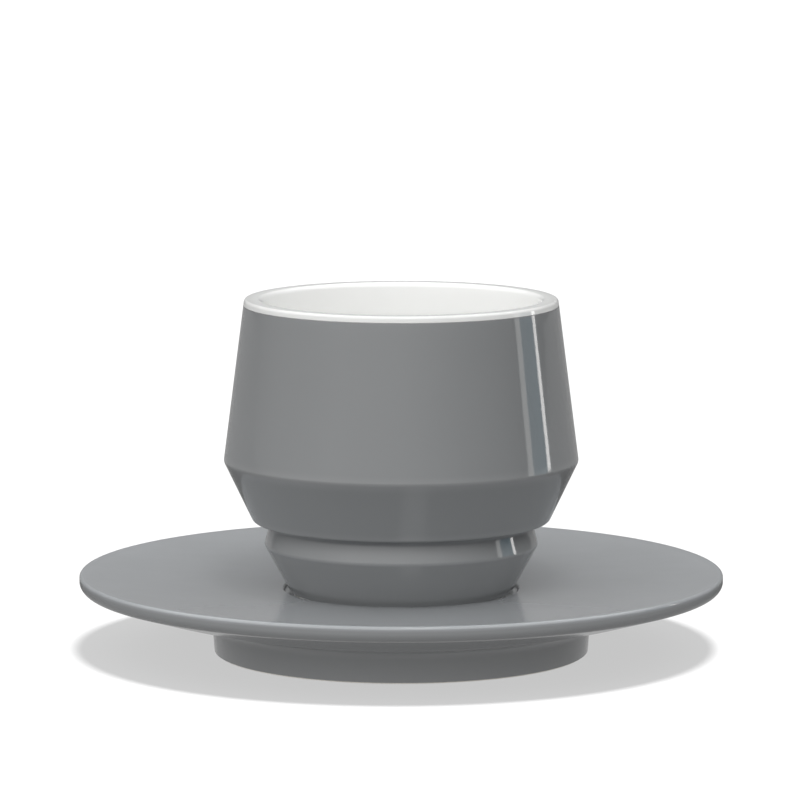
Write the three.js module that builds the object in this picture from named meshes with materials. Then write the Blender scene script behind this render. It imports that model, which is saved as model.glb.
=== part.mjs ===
import * as THREE from "three";

// A cup without a handle and the saucer it stands on, both round about the Z axis.
// Millimetres, +Z up, with the saucer's foot ring standing on z = 0.
// Each is fired clay under glaze, and the glaze is wiped off where a foot ring stands.

// Driving dimensions that both pieces share.
const coat = 0.4; // thickness of every glaze
const bareBand = 0.3; // the wiped clay reaches this far above the face that a foot ring stands on
const seatRound = 0.2; // rounding of a foot ring's two standing edges
const stackClearance = 0.4; // from one cup's shoulder to the mouth of the cup below it in a stack
const wellClearance = 1.3; // from the cup's foot to the edge of the saucer's well
const turnSteps = 36; // facets round the axis

const saucer = {
  radius: 80,
  rimHeight: 19.95, // the dish, carried on to the full radius
  rimThickness: 3.5,
  rimTopRound: 1.6,
  rimUnderRound: 1.9,
  swellDrop: 0.6, // how far the underside swells below a straight line from neck to rim
  swellShare: 0.44, // where on that line it swells
  swellRound: 200,
  neckHeight: 7.8, // where the foot ring leaves the underside
  neckRound: 2.8,
  footRadius: 46.5,
  footFlare: 0.6, // how far the ring widens on its way up to the underside
  footWall: 4.3,
  footDraft: 0.5, // how far the ring's inner wall leans in on its way up
  floorThickness: 5.6, // under the well
  recessRound: 2.5,
  wellHeight: 15, // the flat that the cup stands on
  wellDepth: 0.85, // from the edge of the dish down to that flat
  wellLean: 0.4,
  wellEdgeRound: 0.7,
  wellFootRound: 0.3,
};

const cup = {
  height: 73.3,
  lipRadius: 38.85, // the lip's outer edge before it is rounded
  lipOuterRound: 1.4,
  lipInnerRound: 1.6,
  whiteBand: 1.6, // the white glaze comes over the lip and this far down the outside
  creaseRadius: 44.05, // the widest place
  creaseHeight: 32.95,
  creaseRound: 1.6,
  ledgeRadius: 36.8, // the step under the belly, which rests on another cup's lip
  ledgeHeight: 17.9,
  ledgeRound: 1.4,
  grooveRadius: 32.6, // the drawn-in neck under the ledge
  grooveHeight: 17.3,
  grooveRound: 1,
  shoulderRadius: 34.05, // the collar that fits in another cup's mouth
  shoulderHeight: 11.95,
  shoulderRound: 2.6,
  footRadius: 27.6,
  footWall: 3.2,
  footDraft: 0.3,
  recessHeight: 1.6,
  recessRound: 0.8,
  collarDepth: 9, // the inside is upright for this far below the lip
  collarRound: 30,
  creaseWall: 4.6, // wall thickness level with the crease
  hollowRound: 8,
  grooveWall: 4, // wall thickness level with the groove
  throatRound: 14,
  floorThickness: 3.8,
  floorWall: 4.5, // wall thickness level with the floor
  floorRound: 9,
};

// Colours and gloss of the two glazes and of the bare clay.
const greyGlaze = { color: 0x777c7e, roughness: 0.12, metalness: 0 };
const whiteGlaze = { color: 0xf4f4f2, roughness: 0.12, metalness: 0 };
const bareClay = { color: 0xe6e2da, roughness: 0.75, metalness: 0 };

// An outline is a list of corners, each a place with the radius and the steps of the arc round it.
// It is walked with the clay on the left: out from the axis, up the outside and back to the axis.
function corner(r, z, round = 0, steps = 1) {
  return { at: new THREE.Vector2(r, z), round, steps };
}

function heading(from, to) {
  return to.at.clone().sub(from.at).normalize();
}

function leftOf(direction) {
  return new THREE.Vector2(-direction.y, direction.x);
}

// How far an arc may reach from a corner towards its neighbour, which may have an arc too.
function room(here, neighbour) {
  const distance = here.at.distanceTo(neighbour.at);
  return neighbour.round ? distance / 2 : distance;
}

// The points of every corner in turn: the corner itself, or the arc that rounds it.
function trace(corners) {
  return corners.map((here, i) => {
    if (!here.round) return [here.at.clone()];
    const [before, after] = [corners[i - 1], corners[i + 1]];
    const back = heading(here, before);
    const ahead = heading(here, after);
    const halfAngle = Math.acos(back.dot(ahead)) / 2;
    const reach = Math.min(here.round / Math.tan(halfAngle), room(here, before), room(here, after));
    const centre = back.clone().add(ahead).setLength(reach / Math.cos(halfAngle)).add(here.at);
    const start = back.multiplyScalar(reach).add(here.at).sub(centre);
    const end = ahead.multiplyScalar(reach).add(here.at).sub(centre);
    const sweep = Math.atan2(start.cross(end), start.dot(end));
    const points = [];
    for (let step = 0; step <= here.steps; step += 1) {
      const turn = (sweep * step) / here.steps;
      points.push(start.clone().rotateAround(new THREE.Vector2(), turn).add(centre));
    }
    return points;
  });
}

// The same outline at an even depth inside the clay.
function sunk(corners, depth) {
  const last = corners.length - 1;
  return corners.map((here, i) => {
    const before = i > 0 ? heading(corners[i - 1], here) : heading(here, corners[i + 1]);
    const after = i < last ? heading(here, corners[i + 1]) : before;
    const side = leftOf(before).add(leftOf(after)).normalize();
    const at = side.clone().multiplyScalar(depth / side.dot(leftOf(before))).add(here.at);
    const bulges = before.cross(after) > 0;
    const round = here.round && (bulges ? here.round - depth : here.round + depth);
    return { ...here, at, round };
  });
}

// The outline of a glaze over some corners: along its surface, and back along the clay.
function coatOutline(surface, clay, first, last) {
  const outer = surface.slice(first, last + 1).flat();
  const inner = clay.slice(first, last + 1).flat().reverse();
  const startsOnAxis = outer[0].x === 0;
  const endsOnAxis = inner[0].x === 0;
  if (endsOnAxis) return [...inner, ...outer];
  return startsOnAxis ? [...outer, ...inner] : [...outer, ...inner, outer[0]];
}

// The bare face that a foot ring stands on, between the clay under two glazes.
function standingFace(innerEnd, outerEnd) {
  const inner = corner(innerEnd.x, 0, seatRound);
  const outer = corner(outerEnd.x, 0, seatRound);
  return trace([corner(...innerEnd), inner, outer, corner(...outerEnd)]).slice(1, 3).flat();
}

// The outline of the clay, from the recess under it to the middle of its upper side.
function bodyOutline(base, shell) {
  const recess = base.flat();
  const rest = shell.flat();
  return [...recess, ...standingFace(recess.at(-1), rest[0]), ...rest];
}

// The radius at a height on the straight line through two corners.
function radiusAt(height, low, high) {
  const share = (height - low.at.y) / (high.at.y - low.at.y);
  return low.at.x + (high.at.x - low.at.x) * share;
}

// The recess within a foot ring, from the axis to where the glaze ends on the ring's inner wall.
function recessCorners({ footRadius, footWall, footDraft, recessRound }, recessHeight) {
  const ringInside = corner(footRadius - footWall, 0);
  const ceiling = corner(ringInside.at.x - footDraft, recessHeight, recessRound, 2);
  const glazeEnd = corner(radiusAt(bareBand, ringInside, ceiling), bareBand);
  return [corner(0, recessHeight), ceiling, glazeEnd];
}

// A piece turned round the Z axis from its outline.
function turned(name, outline, finish) {
  const geometry = new THREE.LatheGeometry(outline, turnSteps).rotateX(Math.PI / 2);
  const mesh = new THREE.Mesh(geometry, new THREE.MeshStandardMaterial(finish));
  mesh.name = name;
  return mesh;
}

function makeSaucer() {
  const foot = corner(saucer.footRadius, 0);
  const neck = corner(foot.at.x + saucer.footFlare, saucer.neckHeight, saucer.neckRound, 2);
  const rimUnderHeight = saucer.rimHeight - saucer.rimThickness;
  const rimUnder = corner(saucer.radius, rimUnderHeight, saucer.rimUnderRound, 3);
  const swellAt = neck.at.clone().lerp(rimUnder.at, saucer.swellShare);
  const wellRadius = cup.footRadius + wellClearance;
  const wellTop = saucer.wellHeight + saucer.wellDepth;
  const shellCorners = [
    corner(radiusAt(bareBand, foot, neck), bareBand),
    neck,
    corner(swellAt.x, swellAt.y - saucer.swellDrop, saucer.swellRound, 3),
    rimUnder,
    corner(saucer.radius, saucer.rimHeight, saucer.rimTopRound, 3),
    corner(wellRadius + saucer.wellLean, wellTop, saucer.wellEdgeRound, 1),
    corner(wellRadius, saucer.wellHeight, saucer.wellFootRound, 1),
    corner(0, saucer.wellHeight),
  ];
  const baseCorners = recessCorners(saucer, saucer.wellHeight - saucer.floorThickness);
  const shellClay = trace(sunk(shellCorners, coat));
  const baseClay = trace(sunk(baseCorners, coat));
  const glaze = coatOutline(trace(shellCorners), shellClay, 0, shellCorners.length - 1);
  const baseGlaze = coatOutline(trace(baseCorners), baseClay, 0, baseCorners.length - 1);

  const group = new THREE.Group();
  group.add(
    turned("saucer_body", bodyOutline(baseClay, shellClay), bareClay),
    turned("saucer_glaze", glaze, greyGlaze),
    turned("saucer_base_glaze", baseGlaze, greyGlaze),
  );
  return group;
}

function makeCup() {
  const foot = corner(cup.footRadius, 0);
  const shoulder = corner(cup.shoulderRadius, cup.shoulderHeight, cup.shoulderRound, 2);
  const crease = corner(cup.creaseRadius, cup.creaseHeight, cup.creaseRound, 3);
  const lip = corner(cup.lipRadius, cup.height, cup.lipOuterRound, 2);
  const colourLine = cup.height - cup.whiteBand;
  const mouthRadius = cup.shoulderRadius + stackClearance;
  const floorHeight = cup.recessHeight + cup.floorThickness;
  const floorRadius = radiusAt(floorHeight, foot, shoulder) - cup.floorWall;
  const outsideCorners = [
    corner(radiusAt(bareBand, foot, shoulder), bareBand),
    shoulder,
    corner(cup.grooveRadius, cup.grooveHeight, cup.grooveRound, 2),
    corner(cup.ledgeRadius, cup.ledgeHeight, cup.ledgeRound, 2),
    crease,
    corner(radiusAt(colourLine, crease, lip), colourLine),
  ];
  const insideCorners = [
    lip,
    corner(mouthRadius, cup.height, cup.lipInnerRound, 2),
    corner(mouthRadius, cup.height - cup.collarDepth, cup.collarRound, 1),
    corner(cup.creaseRadius - cup.creaseWall, cup.creaseHeight, cup.hollowRound, 3),
    corner(cup.grooveRadius - cup.grooveWall, cup.grooveHeight, cup.throatRound, 2),
    corner(floorRadius, floorHeight, cup.floorRound, 3),
    corner(0, floorHeight),
  ];
  const shellCorners = [...outsideCorners, ...insideCorners];
  const baseCorners = recessCorners(cup, cup.recessHeight);
  const shellSurface = trace(shellCorners);
  const shellClay = trace(sunk(shellCorners, coat));
  const baseClay = trace(sunk(baseCorners, coat));
  const colourLineIndex = outsideCorners.length - 1;
  const outerGlaze = coatOutline(shellSurface, shellClay, 0, colourLineIndex);
  const innerGlaze = coatOutline(shellSurface, shellClay, colourLineIndex, shellCorners.length - 1);
  const baseGlaze = coatOutline(trace(baseCorners), baseClay, 0, baseCorners.length - 1);

  const group = new THREE.Group();
  group.add(
    turned("cup_body", bodyOutline(baseClay, shellClay), bareClay),
    turned("cup_outer_glaze", outerGlaze, greyGlaze),
    turned("cup_inner_glaze", innerGlaze, whiteGlaze),
    turned("cup_base_glaze", baseGlaze, greyGlaze),
  );
  group.position.z = saucer.wellHeight;
  return group;
}

const cupAndSaucer = new THREE.Group();
cupAndSaucer.add(makeSaucer(), makeCup());

export default cupAndSaucer;
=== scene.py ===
# %% [markdown]
# # A cup and saucer in Blender
#
# The real object is a cup without a handle that stands in the shallow well of a broad saucer. Both are
# porcelain, turned round one axis, and both are dressed in glaze. The packed model gives the size and the
# place of every node. This script makes the smooth surfaces, the glazes and the studio round them.

# %% Load the frame
import math

import bmesh
import bpy
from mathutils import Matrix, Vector


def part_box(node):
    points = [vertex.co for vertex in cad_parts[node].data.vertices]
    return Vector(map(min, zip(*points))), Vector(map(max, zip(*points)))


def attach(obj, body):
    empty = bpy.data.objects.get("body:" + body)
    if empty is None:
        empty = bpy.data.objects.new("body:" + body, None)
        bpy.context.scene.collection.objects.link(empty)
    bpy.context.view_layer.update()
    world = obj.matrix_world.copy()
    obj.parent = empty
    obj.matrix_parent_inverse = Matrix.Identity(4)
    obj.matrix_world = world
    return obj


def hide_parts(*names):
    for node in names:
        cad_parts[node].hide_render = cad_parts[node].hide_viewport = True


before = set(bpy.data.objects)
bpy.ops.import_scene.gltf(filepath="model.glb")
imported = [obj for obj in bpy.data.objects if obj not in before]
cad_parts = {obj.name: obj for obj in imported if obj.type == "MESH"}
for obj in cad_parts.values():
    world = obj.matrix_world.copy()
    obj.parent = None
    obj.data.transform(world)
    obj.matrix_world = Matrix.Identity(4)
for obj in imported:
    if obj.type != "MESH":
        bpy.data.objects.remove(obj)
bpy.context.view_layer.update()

MM = 0.001

# %% [markdown]
# ## Outlines
#
# A turned piece could be cut from cylinders, or subdivided from a cage. It is easiest to control as an
# outline that is spun, as a potter's template is. An outline here is a list of a few corners in the XZ
# plane, in millimetres, each with the radius that rounds it. The clay is always on the left of the way the
# outline is walked: out from the axis, up the outside, over the edge and back to the axis.

# %% Corners
class Corner:
    """A corner of an outline, with the radius of the arc that rounds it, all in millimetres."""

    def __init__(self, r, z, radius=0.0):
        self.at = Vector((r, z))
        self.radius = radius


def heading(start, end):
    """The direction from one corner to another."""
    return (end.at - start.at).normalized()


def radius_at(height, low, high):
    """The radius at a height on the straight line through two corners."""
    return low.at.x + (high.at.x - low.at.x) * (height - low.at.y) / (high.at.y - low.at.y)


print("halfway up a slope from 10 to 20 mm the radius is", radius_at(5, Corner(10, 0), Corner(20, 10)))

# %% [markdown]
# ## An even depth of glaze
#
# A glaze is as deep on a slope as on the flat. So each edge of the outline moves square to itself into the
# clay, all by one depth, and the new corners are where the moved edges meet. An outward corner keeps its
# centre, so its arc gets smaller by that depth, and an inward one larger.

# %% Outlines sunk into the clay
def left_of(direction):
    """The direction turned a quarter to the left, which is into the clay."""
    return Vector((-direction.y, direction.x))


def sunk(corners, depth):
    """The same outline at an even depth inside the clay."""
    result = []
    for i, here in enumerate(corners):
        before = heading(corners[i - 1], here) if i else heading(here, corners[1])
        after = heading(here, corners[i + 1]) if i + 1 < len(corners) else before
        side = (left_of(before) + left_of(after)).normalized()
        at = here.at + side * (depth / side.dot(left_of(before)))
        bulges = before.x * after.y - before.y * after.x > 0
        radius = here.radius and here.radius + (-depth if bulges else depth)
        result.append(Corner(at.x, at.y, radius))
    return result


print("a wall at 10 mm, sunk by 1 mm:", [c.at.x for c in sunk([Corner(10, 0), Corner(10, 5)], 1)])

# %% [markdown]
# ## From corners to a wire
#
# Bevel, when it works on vertices, puts an arc at the corner of a wire. It asks how far the arc reaches along
# the edges, not for its radius, so the reach is worked out from the angle between them. Where two arcs share
# an edge, each keeps to its own half of it.

# %% Wires
ARC_SEGMENTS = 12
USABLE_SHARE = 0.98


def reach_of(corners, i):
    """How far the arc of corner i reaches along its two edges, kept clear of its neighbours' arcs."""
    here = corners[i]
    neighbours = [corners[i - 1], corners[(i + 1) % len(corners)]]
    ways = [heading(here, other) for other in neighbours]
    half_angle = ways[0].angle(ways[1]) / 2
    rooms = [(other.at - here.at).length / (2 if other.radius else 1) for other in neighbours]
    return min(here.radius / math.tan(half_angle), *[room * USABLE_SHARE for room in rooms])


def wire_of(corners, closed):
    """A bmesh wire through the corners, with each rounded one bevelled to its arc."""
    bm = bmesh.new()
    verts = [bm.verts.new((c.at.x * MM, 0, c.at.y * MM)) for c in corners]
    for a, b in zip(verts, verts[1:] + (verts[:1] if closed else [])):
        bm.edges.new((a, b))
    reaches = [reach_of(corners, i) if c.radius else 0 for i, c in enumerate(corners)]
    for vert, reach in zip(verts, reaches):
        if reach:
            bmesh.ops.bevel(bm, geom=[vert], offset=reach * MM, offset_type="OFFSET", affect="VERTICES",
                            segments=ARC_SEGMENTS, profile=0.5, material=-1, clamp_overlap=False)
    return bm


right_angle = [Corner(0, 0), Corner(10, 0, radius=2), Corner(10, 10)]
print("a 2 mm arc in a right angle reaches", round(reach_of(right_angle, 1), 3), "mm")

# %% [markdown]
# ## Spinning a wire
#
# A lathe of straight facets shows its corners, so the long edges of the wire are divided first. That keeps
# the smooth shading of an arc from creeping along the straight stretch beside it. Then Spin turns the wire
# once round the axis and merges its ends, and the points that meet on the axis are merged too.

# %% Wire to closed solid
TURN_STEPS = 160
LONGEST_EDGE = 2.5 * MM
MERGE_DISTANCE = 0.0005 * MM
SHARP_ANGLE = math.radians(32)
MILLILITRE = 1e-6


def divide_long_edges(bm):
    """Divides every edge of a wire into equal parts that are short enough."""
    cuts_needed = {}
    for edge in bm.edges:
        cuts = math.ceil(edge.calc_length() / LONGEST_EDGE) - 1
        cuts_needed.setdefault(cuts, []).append(edge)
    for cuts, edges in cuts_needed.items():
        if cuts > 0:
            bmesh.ops.subdivide_edges(bm, edges=edges, cuts=cuts)


def turned_piece(name, corners, finish, closed=False):
    """A solid of revolution from the corners of its outline, in the finish given."""
    bm = wire_of(corners, closed)
    divide_long_edges(bm)
    bmesh.ops.spin(bm, geom=bm.verts[:] + bm.edges[:], cent=(0, 0, 0), axis=(0, 0, 1), dvec=(0, 0, 0),
                   angle=math.tau, steps=TURN_STEPS, use_merge=True, use_duplicate=False)
    bmesh.ops.remove_doubles(bm, verts=bm.verts[:], dist=MERGE_DISTANCE)
    bmesh.ops.recalc_face_normals(bm, faces=bm.faces[:])
    for face in bm.faces:
        face.smooth = True
    for edge in bm.edges:
        edge.smooth = edge.calc_face_angle(0) < SHARP_ANGLE
    open_edges = sum(not edge.is_manifold for edge in bm.edges)
    volume = bm.calc_volume(signed=True) / MILLILITRE
    mesh = bpy.data.meshes.new(name)
    bm.to_mesh(mesh)
    bm.free()
    piece = bpy.data.objects.new(name, mesh)
    bpy.context.scene.collection.objects.link(piece)
    mesh.materials.append(finish)
    print(name, len(mesh.polygons), "faces,", open_edges, "open edges,", round(volume, 2), "ml")
    return piece


print("each turned piece has", TURN_STEPS, "steps round the axis")

# %% [markdown]
# ## Shader sums in plain Python
#
# A procedural finish is mostly sums on numbers. Node by node they are hard to read, so one small class wraps
# a socket and lets Python's own operators add the Math nodes. Every other node comes from one method.

# %% The Socket class
class Socket:
    """A shader socket that can stand in a Python sum."""

    def __init__(self, tree, link=None):
        self.tree = tree
        self.link = link

    def node(self, kind, settings=None, inputs=None, output=0):
        """Adds a node: its settings first, then a value or a link for each named input."""
        node = self.tree.nodes.new(kind)
        for key, value in (settings or {}).items():
            if key == "stops":
                set_stops(node.color_ramp, value)
            else:
                setattr(node, key, value)
        for key, value in (inputs or {}).items():
            if isinstance(value, Socket):
                self.tree.links.new(value.link, node.inputs[key])
            else:
                node.inputs[key].default_value = value
        return Socket(self.tree, node.outputs[output])

    def feed(self, node_input):
        """Links this socket to an input of a node that is there already."""
        self.tree.links.new(self.link, node_input)

    def math(self, operation, *values):
        inputs = {i: value for i, value in enumerate((self, *values))}
        return self.node("ShaderNodeMath", {"operation": operation}, inputs)

    def __add__(self, other):
        return self.math("ADD", other)

    __radd__ = __add__

    def __sub__(self, other):
        return self.math("SUBTRACT", other)

    def __rsub__(self, other):
        return (self * -1) + other

    def __mul__(self, other):
        return self.math("MULTIPLY", other)

    __rmul__ = __mul__

    def __truediv__(self, other):
        return self.math("DIVIDE", other)


print("besides sums, a socket has", [name for name in vars(Socket) if not name.startswith("_")])

# %% [markdown]
# ## Nodes that are used often
#
# Three kinds of node do most of the work here. Map Range turns a distance into a soft edge, Mix goes from one
# colour to another, and Noise gives a finish its unevenness. Each gets a short name of its own.

# %% Ranges, colours and noise
def set_stops(ramp, stops):
    """Gives a colour ramp its stops, each a place and a colour."""
    while len(ramp.elements) < len(stops):
        ramp.elements.new(1)
    for element, (place, colour) in zip(ramp.elements, stops):
        element.position = place
        element.color = (*colour, 1)


def map_range(value, low, high, ends=(0.0, 1.0), kind="SMOOTHSTEP"):
    """Goes from the first end to the second while a value goes from low to high."""
    return value.node("ShaderNodeMapRange", {"interpolation_type": kind},
                      {0: value, 1: low, 2: high, 3: ends[0], 4: ends[1]})


def band(value, centre, half_width):
    """1 where a value is at the centre of a band, falling smoothly to 0 at its two sides."""
    return map_range((value - centre).math("ABSOLUTE"), 0.0, half_width, ends=(1.0, 0.0))


def grey(level):
    return (level, level, level)


def mix_colours(share, first, second):
    """The share of the way from one colour to another, each three numbers or a socket."""
    first, second = (c if isinstance(c, Socket) else (*c, 1) for c in (first, second))
    return share.node("ShaderNodeMix", {"data_type": "RGBA"}, {0: share, 6: first, 7: second}, output=2)


def noise(place, scale, detail):
    return place.node("ShaderNodeTexNoise", None, {"Vector": place, "Scale": scale, "Detail": detail})


def bump(height, distance):
    return height.node("ShaderNodeBump", None, {"Height": height, "Distance": distance, "Strength": 1.0})


print("a plain level of 0.5 is the grey", grey(0.5))

# %% [markdown]
# ## Where a point is
#
# Every finish here is read in Object coordinates, which are the CAD's own, because each piece's object is at
# the origin. The pieces are round, so a glaze asks for the radius from the axis and the height.

# %% Materials and places
def new_finish(name):
    """A material with one Principled BSDF, the first socket of its tree, and the shader itself."""
    material = bpy.data.materials.new(name)
    material.use_nodes = True
    return material, Socket(material.node_tree), material.node_tree.nodes["Principled BSDF"]


def place_in_object(start):
    """The object coordinates of a point: as a vector, as its radius from the axis, and as its height."""
    place = start.node("ShaderNodeTexCoord", output=3)
    x, y, z = (start.node("ShaderNodeSeparateXYZ", None, {0: place}, output=i) for i in range(3))
    radius = (x * x + y * y).math("SQRT")
    return place, radius, z


def ring(corner, reach):
    """The radius and height of a corner and the reach of what it does to a glaze, in metres."""
    return corner.at.x * MM, corner.at.y * MM, reach * MM


def near_rings(value, radius, height, rings):
    """A value that rises by 1 towards each ring, from the ring's reach."""
    for ring_radius, ring_height, reach in rings:
        value = value + band(radius, ring_radius, reach) * band(height, ring_height, reach)
    return value


print("a ring round a corner at 10, 20 mm with a reach of 3:", ring(Corner(10, 20), 3))

# %% [markdown]
# ## The glazes
#
# A glaze is a layer of coloured glass over clay. Under a microscope it scatters and reflects at two depths,
# but at arm's length it is a coloured ground with a sharp, colourless reflection, which is what Principled
# gives. What makes it look fired and not moulded is small: it clouds faintly from place to place and never
# lies quite flat. Here it also takes another colour near some edges and a darker one in some hollows, and
# below a top surface it goes darker, which is painted shade.

# %% The glaze finish
CLOUD_SCALE = 45
CLOUD_DETAIL = 3.0
CLOUD_SHARE = 0.3
RIPPLE_SCALE = 170
RIPPLE_DETAIL = 1.0
RIPPLE_HEIGHT = 0.012 * MM
ROUGHNESS_SWING = 0.02
GLAZE_IOR = 1.5
SHADE_BELOW_TOP = (0.3 * MM, 1.8 * MM)


def glaze(name, edge_colour, full, darker_colour, roughness, ridges, hollows=(), top_line=None):
    """A glossy glaze, which goes to one colour near the ridges and to a darker one in the hollows.

    top_line is the height and the slope of a top surface, below which the colour goes to the darker one as
    painted shade."""
    material, start, shader = new_finish(name)
    place, radius, height = place_in_object(start)
    cloud = noise(place, CLOUD_SCALE, CLOUD_DETAIL)
    # Near the ridges the colour goes to the edge colour; at the white lip that colour is painted shade.
    edge_share = near_rings(cloud * CLOUD_SHARE, radius, height, ridges)
    cloud_and_painted_shade = near_rings((1 - cloud) * CLOUD_SHARE, radius, height, hollows)
    # Below the line of a top surface the colour goes softly to the darker one: painted shade.
    if top_line:
        top_height, top_slope = top_line
        cloud_and_painted_shade = cloud_and_painted_shade + map_range(radius * top_slope + top_height - height, *SHADE_BELOW_TOP)
    edge_toned = mix_colours(edge_share.math("MINIMUM", 1), full, edge_colour)
    mix_colours(cloud_and_painted_shade.math("MINIMUM", 1), edge_toned, darker_colour).feed(shader.inputs["Base Color"])
    bump(noise(place, RIPPLE_SCALE, RIPPLE_DETAIL), RIPPLE_HEIGHT).feed(shader.inputs["Normal"])
    uneven = cloud * ROUGHNESS_SWING + (roughness - ROUGHNESS_SWING / 2)
    uneven.feed(shader.inputs["Roughness"])
    shader.inputs["IOR"].default_value = GLAZE_IOR
    print(name, len(material.node_tree.nodes), "nodes")
    return material


# %% [markdown]
# ## The bare clay
#
# A foot ring is wiped before firing, so the porcelain shows there: pale, a little warm, matt, and as
# fine-grained as sugar. One flat colour would look like plastic, and a texture made from a picture would have
# to be wrapped round the ring. So a noise much finer than a millimetre drives a bump and a slight change of
# tone.

# %% Bare clay
GRAIN_SCALE = 2600
GRAIN_DETAIL = 4.0
GRAIN_HEIGHT = 0.03 * MM
CLAY_CLOUD_DETAIL = 2.0
CLAY_DARK = (0.66, 0.63, 0.57)
CLAY_PALE = (0.8, 0.78, 0.73)
CLAY_ROUGHNESS = 0.75


def bare_clay():
    material, start, shader = new_finish("bare_clay")
    place, _, _ = place_in_object(start)
    grain = noise(place, GRAIN_SCALE, GRAIN_DETAIL)
    share = (grain + noise(place, CLOUD_SCALE, CLAY_CLOUD_DETAIL)) / 2
    mix_colours(share, CLAY_DARK, CLAY_PALE).feed(shader.inputs["Base Color"])
    bump(grain, GRAIN_HEIGHT).feed(shader.inputs["Normal"])
    shader.inputs["Roughness"].default_value = CLAY_ROUGHNESS
    return material


CLAY = bare_clay()
print("bare clay", len(CLAY.node_tree.nodes), "nodes")

# %% [markdown]
# ## Coats and bodies
#
# Each glaze is a thin solid of its own round the clay. Solidify could give a surface that depth, but the two
# faces would no longer come from one outline with the clay. So a glaze's outline runs along the outer face
# and back along the inner one, which is the same outline sunk by the depth of the coat. The body's outline
# is what the coats leave: the sunk outlines, joined by the standing face of the foot ring.

# %% Outlines of coats and bodies
COAT = 0.4
SEAT_ROUND = 0.2
GLAZE_EDGE_ROUND = 0.15


def rounded_end(corner):
    return Corner(corner.at.x, corner.at.y, GLAZE_EDGE_ROUND)


def coat_corners(outer, inner):
    """The outline of a glaze, from the axis if it reaches it, with its free edges rounded as if melted."""
    outer = [c if c.at.x == 0 or c.radius else rounded_end(c) for c in outer]
    return outer + inner[::-1] if outer[0].at.x == 0 else inner[::-1] + outer


def body_corners(base, shell, floor):
    """The clay of a piece: its recess, the standing face of its foot ring, and its shell."""
    standing = [Corner(base[-1].at.x, floor, SEAT_ROUND), Corner(shell[0].at.x, floor, SEAT_ROUND)]
    return base + standing + shell


print("each coat is", COAT, "mm deep")

# %% [markdown]
# ## The shared outline of a foot
#
# Under each piece the glaze lines a shallow recess and stops short of the ring, which stands on bare clay.
# The recess could be cut out with a boolean, but as corners of the same outline it stays round and clean. The
# two recesses differ only in their sizes, so one function lays out their corners.

# %% Recesses
BARE_BAND = 0.3


def recess_corners(floor, foot_radius, wall, draft, height, rounding):
    """From the axis under a piece, out along the recess and down the ring to where its glaze ends."""
    ring_inside = Corner(foot_radius - wall, floor)
    ceiling = Corner(ring_inside.at.x - draft, floor + height, rounding)
    glaze_end = Corner(radius_at(floor + BARE_BAND, ring_inside, ceiling), floor + BARE_BAND)
    return [Corner(0, floor + height), ceiling, glaze_end]


print("the glaze ends", BARE_BAND, "mm above what the piece stands on")

# %% [markdown]
# ## The saucer's outline
#
# The saucer is one broad, nearly flat cone with a rounded rim and a shallow well that keeps the cup in the
# middle. It stands on a deep foot ring. A disc could be sculpted to this, but only a spun outline keeps the
# cone straight and the rim even all the way round. Its radius and the height of the well come from the packed
# model. The underside swells a little, which is one very large arc between the neck of the foot and the rim.

# %% Saucer outline
SAUCER_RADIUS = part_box("saucer_glaze")[1].x / MM
WELL_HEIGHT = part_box("cup_body")[0].z / MM
CUP_FOOT_RADIUS = 27.6
WELL_PLAY = 1.3
WELL_FLARE = 0.4
WELL_DEPTH = 0.85
SAUCER_FOOT_RADIUS = 46.5
FOOT_FLARE = 0.6
NECK_HEIGHT = 7.8
RIM_HEIGHT = 19.95
RIM_THICKNESS = 3.5
SWELL_SHARE = 0.44
SWELL_DROP = 0.6
SWELL_RADIUS = 200

well_radius = CUP_FOOT_RADIUS + WELL_PLAY
NECK = Corner(SAUCER_FOOT_RADIUS + FOOT_FLARE, NECK_HEIGHT, radius=2.8)
RIM_UNDER = Corner(SAUCER_RADIUS, RIM_HEIGHT - RIM_THICKNESS, radius=2.2)
RIM_TOP = Corner(SAUCER_RADIUS, RIM_HEIGHT, radius=0.75)
swell_place = NECK.at.lerp(RIM_UNDER.at, SWELL_SHARE)
SWELL = Corner(swell_place.x, swell_place.y - SWELL_DROP, SWELL_RADIUS)
WELL_TOP = Corner(well_radius + WELL_FLARE, WELL_HEIGHT + WELL_DEPTH, radius=0.7)
WELL_CORNER = Corner(well_radius, WELL_HEIGHT, radius=0.3)

saucer_shell = [
    Corner(radius_at(BARE_BAND, Corner(SAUCER_FOOT_RADIUS, 0), NECK), BARE_BAND),
    NECK, SWELL, RIM_UNDER, RIM_TOP, WELL_TOP, WELL_CORNER, Corner(0, WELL_HEIGHT),
]
print("the saucer is", round(2 * SAUCER_RADIUS, 2), "mm across, its well", round(WELL_HEIGHT, 2), "mm up")

# %% [markdown]
# ## The recess under the saucer
#
# The foot of a saucer is a ring and not a block: inside it a recess goes up to a floor of even thickness
# under the well. So its height follows from the well and that thickness, and not the other way round.

# %% Saucer recess
SAUCER_FLOOR = 5.6
saucer_base = recess_corners(0, SAUCER_FOOT_RADIUS, wall=4.3, draft=0.5,
                             height=WELL_HEIGHT - SAUCER_FLOOR, rounding=2.5)
print("the recess under the saucer is", round(saucer_base[0].at.y, 2), "mm deep")

# %% [markdown]
# ## The saucer's glaze and pieces
#
# The top of the saucer is lighter than its side and underside: painted light on the top and painted shade
# below. Two materials could show that, but they would meet in a hard line at the rim. So the finish gets the
# line of the top surface, worked out from two corners of the outline, and goes softly to the painted shade
# below it. It is paler at the edge of the well, and the painted shade reaches down into the neck of the foot.

# %% Saucer pieces
# The top colour is painted light, and the darkest one is painted shade on the side and underside; the palest
# is for the edge of the well.
SAUCER_WELL_EDGE = (0.368, 0.38, 0.391)
SAUCER_LIT_TOP = (0.355, 0.367, 0.379)
SAUCER_SHADED_BELOW = (0.252, 0.258, 0.262)

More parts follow.
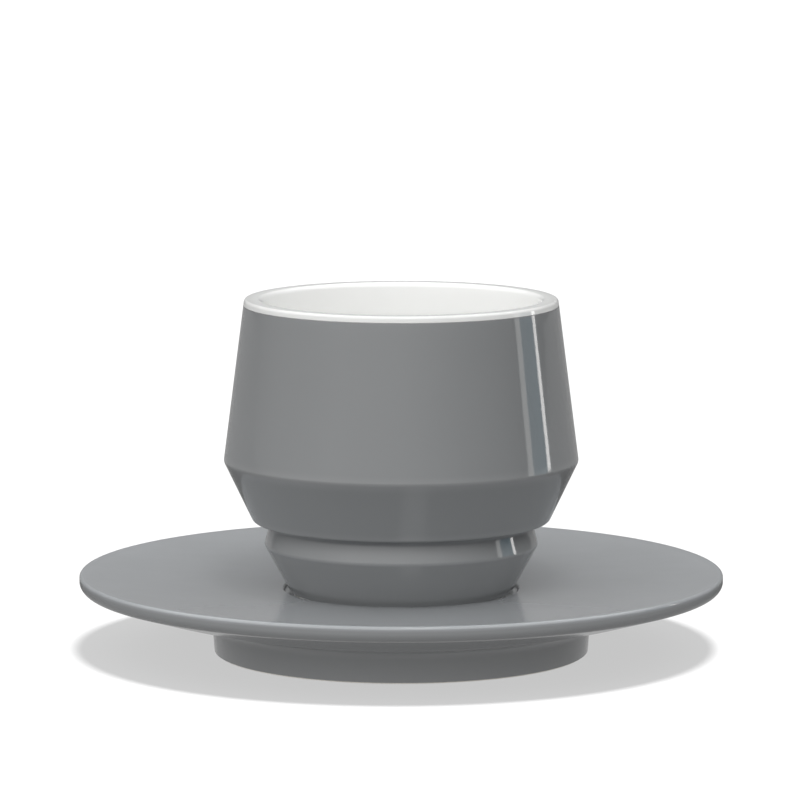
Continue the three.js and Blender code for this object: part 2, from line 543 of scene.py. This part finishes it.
top_slope = (RIM_TOP.at.y - WELL_TOP.at.y) / (RIM_TOP.at.x - WELL_TOP.at.x)
top_line = ((WELL_TOP.at.y - WELL_TOP.at.x * top_slope) * MM, top_slope)
SAUCER_GREY = glaze("saucer_grey_glaze", SAUCER_WELL_EDGE, SAUCER_LIT_TOP, SAUCER_SHADED_BELOW, roughness=0.1,
                    ridges=[ring(WELL_TOP, 1)], hollows=[ring(NECK, 3)], top_line=top_line)

saucer_clay_shell = sunk(saucer_shell, COAT)
saucer_clay_base = sunk(saucer_base, COAT)
saucer_coat = turned_piece("saucer_coat", coat_corners(saucer_shell, saucer_clay_shell), SAUCER_GREY)
saucer_base_coat = turned_piece("saucer_base_coat", coat_corners(saucer_base, saucer_clay_base), SAUCER_GREY)
saucer_clay = turned_piece("saucer_clay", body_corners(saucer_clay_base, saucer_clay_shell, 0), CLAY)

# %% [markdown]
# ## The cup's outline
#
# The cup widens from a small foot to a shoulder, draws in to a groove, steps out under the belly and then
# leans in to the lip. The shoulder fits another cup's mouth and the step rests on its lip, so cups stack.
# Cones could be joined for this, but each corner between them is soft in its own way, which one outline holds
# best. The outside is grey, and the white of the inside comes over the lip and a little way down.

# %% Cup outline, outside
LIP_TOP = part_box("cup_inner_glaze")[1].z / MM
WHITE_BAND = 1.6


def above_well(r, z, radius=0.0):
    """A corner of the cup, whose heights are counted from the well that it stands in."""
    return Corner(r, WELL_HEIGHT + z, radius)


CUP_FOOT = above_well(CUP_FOOT_RADIUS, 0)
SHOULDER = above_well(34.05, 11.95, radius=1.2)
GROOVE = above_well(32.6, 17.3, radius=1.0)
LEDGE = above_well(36.8, 17.9, radius=1.4)
CREASE = above_well(44.05, 32.95, radius=1.6)
LIP_OUTER = Corner(38.85, LIP_TOP, radius=0.8)
colour_line = LIP_TOP - WHITE_BAND
COLOUR_CORNER = Corner(radius_at(colour_line, CREASE, LIP_OUTER), colour_line)

cup_outside = [
    Corner(radius_at(WELL_HEIGHT + BARE_BAND, CUP_FOOT, SHOULDER), WELL_HEIGHT + BARE_BAND),
    SHOULDER, GROOVE, LEDGE, CREASE, COLOUR_CORNER,
]
print("the cup is", round(LIP_TOP - WELL_HEIGHT, 2), "mm tall and", round(2 * CREASE.at.x, 1), "mm across")

# %% [markdown]
# ## The inside of the cup
#
# A cast cup keeps a nearly even wall, but its inside has no corners. So the inside isn't the outside sunk
# once more: it has a few corners of its own, tied to those outside by the wall's thickness and rounded by
# large arcs. The mouth is just wider than the shoulder, for stacking. Under the floor is a shallow recess.

# %% Cup outline, inside and under
STACKING_PLAY = 0.4
MOUTH_DEPTH = 9
BELLY_WALL = 4.6
GROOVE_WALL = 4.0
FOOT_WALL = 4.5
CUP_RECESS = 1.6
CUP_FLOOR = CUP_RECESS + 3.8

mouth_radius = SHOULDER.at.x + STACKING_PLAY
floor_radius = radius_at(WELL_HEIGHT + CUP_FLOOR, CUP_FOOT, SHOULDER) - FOOT_WALL
cup_inside = [
    COLOUR_CORNER,
    LIP_OUTER,
    Corner(mouth_radius, LIP_TOP, radius=1.2),
    Corner(mouth_radius, LIP_TOP - MOUTH_DEPTH, radius=30),
    Corner(CREASE.at.x - BELLY_WALL, CREASE.at.y, radius=8),
    Corner(GROOVE.at.x - GROOVE_WALL, GROOVE.at.y, radius=14),
    above_well(floor_radius, CUP_FLOOR, radius=9),
    above_well(0, CUP_FLOOR),
]
cup_base = recess_corners(WELL_HEIGHT, CUP_FOOT_RADIUS, wall=3.2, draft=0.3, height=CUP_RECESS, rounding=0.8)
print("the mouth is", round(2 * mouth_radius, 1), "mm across")

# %% [markdown]
# ## The cup's glazes and pieces
#
# The clay of the cup is one outline, sunk from the outside and the inside together, so that the two glazes
# meet at the colour line without a step. The grey is a little paler at the ledge and the crease and darker in
# the groove, and the white is darker at the lip, which is painted shade over the light on the lip.

# %% Cup pieces
GREY_EDGE = (0.244, 0.249, 0.251)
GREY_FULL = (0.214, 0.22, 0.223)
GREY_GROOVE = (0.206, 0.212, 0.216)
# The darker white at the lip is painted shade.
WHITE_LIP_SHADE = (0.76, 0.757, 0.742)
WHITE_FULL = (0.868, 0.867, 0.853)
WHITE_THICK = (0.85, 0.852, 0.84)

CUP_GREY = glaze("cup_grey_glaze", GREY_EDGE, GREY_FULL, GREY_GROOVE, roughness=0.06,
                 ridges=[ring(LEDGE, 2.5), ring(CREASE, 2.5)], hollows=[ring(GROOVE, 2.5)])
# At the lip the white goes to its darker colour: painted shade.
CUP_WHITE = glaze("cup_white_glaze", WHITE_LIP_SHADE, WHITE_FULL, WHITE_THICK, roughness=0.07,
                  ridges=[ring(LIP_OUTER, 3.2)])

cup_clay_shell = sunk(cup_outside + cup_inside[1:], COAT)
cup_clay_outside = cup_clay_shell[:len(cup_outside)]
cup_clay_inside = cup_clay_shell[len(cup_outside) - 1:]
cup_clay_base = sunk(cup_base, COAT)
outer_corners = coat_corners(cup_outside, cup_clay_outside)
inner_corners = coat_corners(cup_inside, cup_clay_inside)
cup_outer_coat = turned_piece("cup_outer_coat", outer_corners, CUP_GREY, closed=True)
cup_inner_coat = turned_piece("cup_inner_coat", inner_corners, CUP_WHITE)
cup_base_coat = turned_piece("cup_base_coat", coat_corners(cup_base, cup_clay_base), CUP_GREY)
cup_clay = turned_piece("cup_clay", body_corners(cup_clay_base, cup_clay_shell, WELL_HEIGHT), CLAY)

# %% [markdown] ## Riding and replacing  Each smooth piece stands for one faceted node and moves with that
# node's body: the saucer stays, and the cup lifts off it.

# %% Bodies, nodes and slots
PIECES = [
    (saucer_coat, "saucer", "saucer_glaze", "grey_glaze"),
    (saucer_base_coat, "saucer", "saucer_base_glaze", "grey_glaze"),
    (saucer_clay, "saucer", "saucer_body", "bare_clay"),
    (cup_outer_coat, "cup", "cup_outer_glaze", "grey_glaze"),
    (cup_inner_coat, "cup", "cup_inner_glaze", "white_glaze"),
    (cup_base_coat, "cup", "cup_base_glaze", "grey_glaze"),
    (cup_clay, "cup", "cup_body", "bare_clay"),
]
for piece, body, node, slot in PIECES:
    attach(piece, body)
    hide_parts(node)
    print(piece.name, "rides", body, "and replaces", node)

# %% [markdown]
# ## The floor
#
# The object stands on a white floor against white, with one clear shadow. A plain white plane would throw
# back at the object as much light as the lamps give it. So to the camera the floor glows by itself at a
# little over half of white, and a lamp that reaches nothing else makes up the rest: where the object hides
# that lamp, a pale grey shadow is left. All other rays see greys that depend only on the place, one under and
# close round the saucer, a dim one before it and a lighter one behind. They tone the underside of the saucer
# and what the cup mirrors of the floor.

# %% Floor
FLOOR_HALF = 15.0
FLOOR_ALBEDO = 0.1
SHADOW_LEVEL = 0.545
NEAR_GLOW = 0.46
FRONT_GLOW = 0.16
BACK_GLOW = 0.38
NEAR_EDGE = (0.085, 0.12)
BACK_EDGE = (0.1, 0.3)


def floor_glow(start):
    """The colour that the floor has for all rays but the camera's."""
    place, radius, _ = place_in_object(start)
    away = start.node("ShaderNodeSeparateXYZ", None, {0: place}, output=1)
    behind = map_range(away, *BACK_EDGE, kind="LINEAR")
    clear = map_range(radius, *NEAR_EDGE, kind="LINEAR")
    return mix_colours(clear, grey(NEAR_GLOW), mix_colours(behind, grey(FRONT_GLOW), grey(BACK_GLOW)))


def floor_finish():
    material = bpy.data.materials.new("white_floor")
    material.use_nodes = True
    tree = material.node_tree
    tree.nodes.remove(tree.nodes["Principled BSDF"])
    start = Socket(tree)
    by_camera = start.node("ShaderNodeLightPath", output=0)
    lit = start.node("ShaderNodeBsdfDiffuse", None, {"Color": (*grey(FLOOR_ALBEDO), 1)})
    base = start.node("ShaderNodeEmission", None, {"Color": (1, 1, 1, 1), "Strength": SHADOW_LEVEL})
    camera_side = start.node("ShaderNodeAddShader", None, {0: lit, 1: base})
    other_side = start.node("ShaderNodeEmission", None, {"Color": floor_glow(start), "Strength": 1.0})
    mixed = start.node("ShaderNodeMixShader", None, {0: by_camera, 1: other_side, 2: camera_side})
    mixed.feed(tree.nodes["Material Output"].inputs["Surface"])
    return material


bm = bmesh.new()
bmesh.ops.create_grid(bm, x_segments=1, y_segments=1, size=FLOOR_HALF)
floor_mesh = bpy.data.meshes.new("floor")
bm.to_mesh(floor_mesh)
bm.free()
floor_mesh.materials.append(floor_finish())
floor = bpy.data.objects.new("floor", floor_mesh)
bpy.context.scene.collection.objects.link(floor)
print("the floor is", 2 * FLOOR_HALF, "m square")

# %% [markdown]
# ## The walls
#
# A glossy glaze shows the room it stands in. A picture of a room could be wrapped round the scene, but a room
# of a few levels is easier to steer, so it is drawn as a world. Two colour ramps go once round it, one low
# and one high. How steeply a ray goes up mixes them, then brings in a pale ceiling, and at the very top a
# dimmer grey. The room is bright at the left and in front, and dim at the right and behind. The camera alone
# sees it white.

# %% World
# Levels round the walls from behind, over the left, the front (in the middle) and the right, to behind.
LOW_LEVELS = [0.28, 0.14, 0.78, 1.14, 0.95, 0.4, 0.03, 0.14, 0.28]
HIGH_LEVELS = [0.3, 0.3, 1.4, 2.2, 2.13, 1.45, 0.62, 0.28, 0.3]
CEILING = (1.86, 1.89, 1.91)
ZENITH = 0.5
# The heights between which one gives way to the next, as the sine of the angle above the horizon.
LOW_TO_HIGH = (0.04, 0.5)
HIGH_TO_CEILING = (0.52, 0.74)
CEILING_TO_ZENITH = (0.82, 0.95)


def round_stops(levels):
    """The stops of a ramp that goes once round the walls, evenly spaced."""
    return [(i / (len(levels) - 1), grey(level)) for i, level in enumerate(levels)]


def studio_walls(tree):
    """White to the camera. To all else a ring of walls that brightens upwards, under a pale ceiling."""
    start = Socket(tree)
    way = start.node("ShaderNodeTexCoord", output=0)
    x, y, z = (start.node("ShaderNodeSeparateXYZ", None, {0: way}, output=i) for i in range(3))
    turn = x.math("ARCTAN2", y * -1) / math.tau + 0.5
    low, high = (start.node("ShaderNodeValToRGB", {"stops": round_stops(levels)}, {0: turn})
                 for levels in (LOW_LEVELS, HIGH_LEVELS))
    room = mix_colours(map_range(z, *LOW_TO_HIGH), low, high)
    room = mix_colours(map_range(z, *HIGH_TO_CEILING), room, CEILING)
    room = mix_colours(map_range(z, *CEILING_TO_ZENITH), room, grey(ZENITH))
    by_camera = start.node("ShaderNodeLightPath", output=0)
    mix_colours(by_camera, room, grey(1)).feed(tree.nodes["Background"].inputs["Color"])


world = bpy.data.worlds.new("studio")
bpy.context.scene.world = world
world.use_nodes = True
studio_walls(world.node_tree)
print("the walls have", len(world.node_tree.nodes), "nodes")

# %% [markdown]
# ## The lamps overhead
#
# A sun is as strong everywhere, and its angle sets how soft the edge of a shadow is. Two suns stand in one
# place, almost overhead and a little towards the camera and to the right. Light linking lets the strong one
# reach only the floor, whose shadow it draws, and the faint one only the object, which the room lights.

# %% Suns
KEY_TILT_FRONT = math.radians(16.9)
KEY_TILT_RIGHT = math.radians(5.2)
KEY_WIDTH = math.radians(12)
KEY_LEVEL = 0.1
FLOOR_KEY_LEVEL = 4.8


def receivers(name, objects):
    """A collection of the objects that a lamp is allowed to reach."""
    collection = bpy.data.collections.new(name)
    for thing in objects:
        collection.objects.link(thing)
    return collection


def sun(name, level, reached):
    data = bpy.data.lights.new(name, "SUN")
    data.energy = level * math.pi
    data.angle = KEY_WIDTH
    lamp = bpy.data.objects.new(name, data)
    bpy.context.scene.collection.objects.link(lamp)
    ray = Vector((-math.tan(KEY_TILT_RIGHT), math.tan(KEY_TILT_FRONT), -1))
    lamp.rotation_euler = ray.to_track_quat("-Z", "Y").to_euler()
    lamp.light_linking.receiver_collection = reached
    print(name, "at", level, "reaches", reached.name)


floor_only = receivers("floor_only", [floor])
object_only = receivers("object_only", [piece for piece, *_ in PIECES])
sun("key", KEY_LEVEL, object_only)
sun("floor_key", FLOOR_KEY_LEVEL, floor_only)

# %% [markdown]
# ## The tall reflection on the right
#
# The cup mirrors two bright, narrow uprights with a dark blue band between them. They could be drawn on the
# walls, but panels have crisp edges and can be kept from lighting anything. A cone mirrors a narrow upright
# light as an upright stripe, so three flat lamp panels stand side by side at the right, each as wide as its
# stripe needs. They give reflections only.

# %% Lamp panels
STRIP_DISTANCE = 2.0
STRIP_LOW = 0.01
STRIP_HIGH = 0.62
# Each has its name, its first and last bearing, its level and its colour.
STRIPS = [
    ("strip_near", 89.5, 94.3, 1.9, (1.0, 1.0, 0.99)),
    ("strip_between", 94.3, 108.6, 1.0, (0.03, 0.27, 0.4)),
    ("strip_far", 108.7, 112.3, 5.8, (1.0, 0.99, 0.97)),
]


def strip(name, first, last, level, colour):
    """A lamp panel between two bearings, in degrees from the camera's side towards the right."""
    middle = math.radians((first + last) / 2)
    data = bpy.data.lights.new(name, "AREA")
    data.shape = "RECTANGLE"
    data.size = 2 * STRIP_DISTANCE * math.tan(math.radians(last - first) / 2)
    data.size_y = STRIP_HIGH - STRIP_LOW
    data.color = colour
    data.energy = level * math.pi * data.size * data.size_y
    lamp = bpy.data.objects.new(name, data)
    bpy.context.scene.collection.objects.link(lamp)
    side = Vector((math.sin(middle), -math.cos(middle), 0))
    lamp.location = side * STRIP_DISTANCE + Vector((0, 0, (STRIP_LOW + STRIP_HIGH) / 2))
    lamp.rotation_euler = (-side).to_track_quat("-Z", "Y").to_euler()
    lamp.visible_diffuse = False
    lamp.visible_camera = False
    lamp.light_linking.receiver_collection = object_only
    print(name, round(data.size, 3), "m wide")


for row in STRIPS:
    strip(*row)

# %% [markdown]
# ## Camera
#
# A long lens from about 1.35 m, looking down by under eight degrees. A wider lens from nearer by would frame
# the same, but it would open the near ellipses more than the far ones. The place was worked out from the
# outlines of the saucer, its foot and the cup. The view transform is Standard, which shows a colour as it is
# written.

# %% Camera
FOCAL_PIXELS = 5484.6
IMAGE_SIDE = 800
SENSOR = 36.0
CAMERA_PLACE = (-0.0003, -1.34738, 0.244763)
CAMERA_DIP = 0.134175
FARTHEST = 100

camera_data = bpy.data.cameras.new("camera")
camera_data.sensor_width = SENSOR
camera_data.lens = FOCAL_PIXELS * SENSOR / IMAGE_SIDE
camera_data.clip_end = FARTHEST
camera = bpy.data.objects.new("camera", camera_data)
camera.location = CAMERA_PLACE
camera.rotation_euler = (math.pi / 2 - CAMERA_DIP, 0, 0)
bpy.context.scene.collection.objects.link(camera)
bpy.context.scene.camera = camera
bpy.context.scene.view_settings.view_transform = "Standard"
print("lens", round(camera_data.lens, 1), "mm, looking down", round(math.degrees(CAMERA_DIP), 2), "degrees")

# %% [markdown]
# The smooth pieces have to stay inside the box of the packed model.
